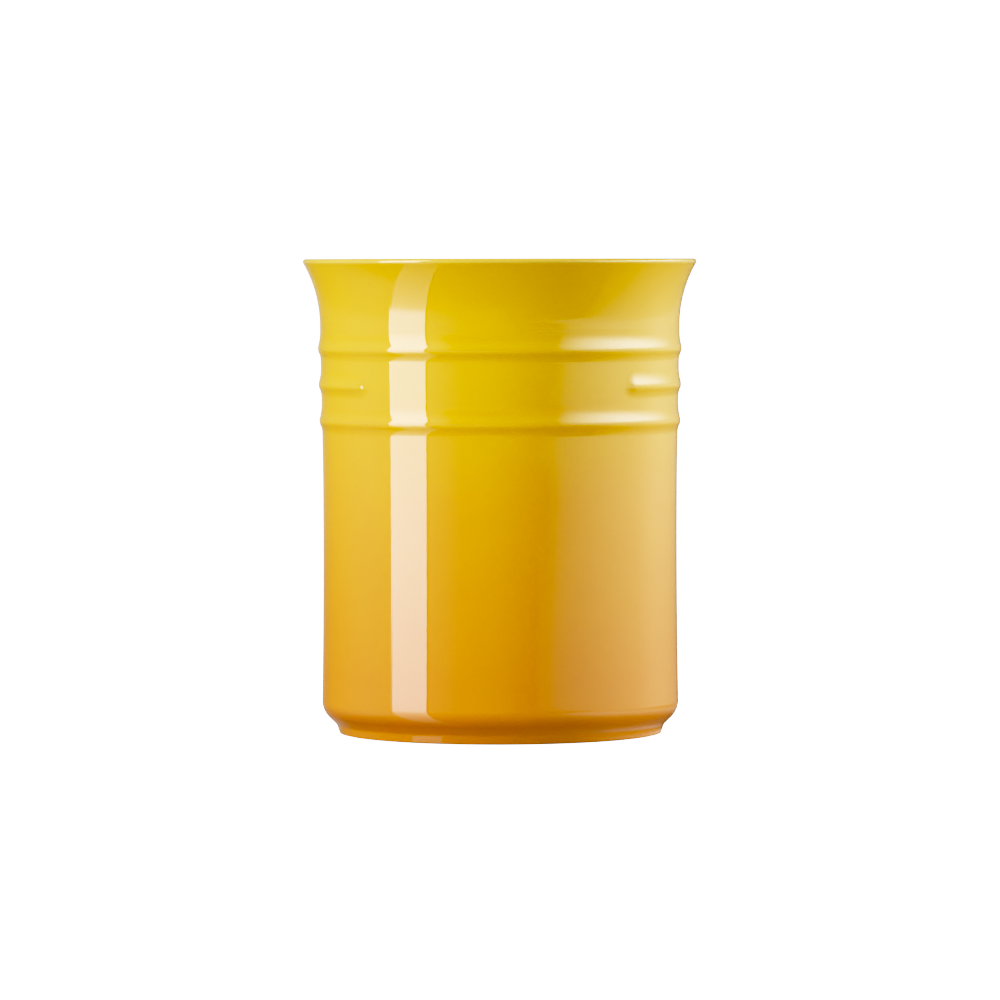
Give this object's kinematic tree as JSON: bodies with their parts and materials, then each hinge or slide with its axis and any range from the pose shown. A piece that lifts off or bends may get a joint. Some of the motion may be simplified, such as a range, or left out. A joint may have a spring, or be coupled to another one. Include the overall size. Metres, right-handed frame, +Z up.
{
  "type": "utensil crock",
  "caption": "Round glazed stoneware crock with a flared rim, a ribbed collar and a stepped-in foot ring, for standing kitchen utensils in.",
  "frame": {"origin": "on the axis, in the plane of the table that the foot ring stands on", "axes": "+Z up along the crock's axis, front with the bare place in the middle rib towards -Y"},
  "size_m": [0.1242, 0.1242, 0.15],
  "materials": {
    "stoneware": "bare fired stoneware, fine grained and matt",
    "graded_glaze": "gloss glaze, lemon yellow at the rim grading to orange at the foot, finely mottled",
    "liner_glaze": "gloss glaze, plain yellow"
  },
  "bodies": {
    "root": {"stoneware_body": "stoneware", "outside_glaze": "graded_glaze", "inside_glaze": "liner_glaze", "underside_glaze": "liner_glaze"}
  },
  "joints": []
}
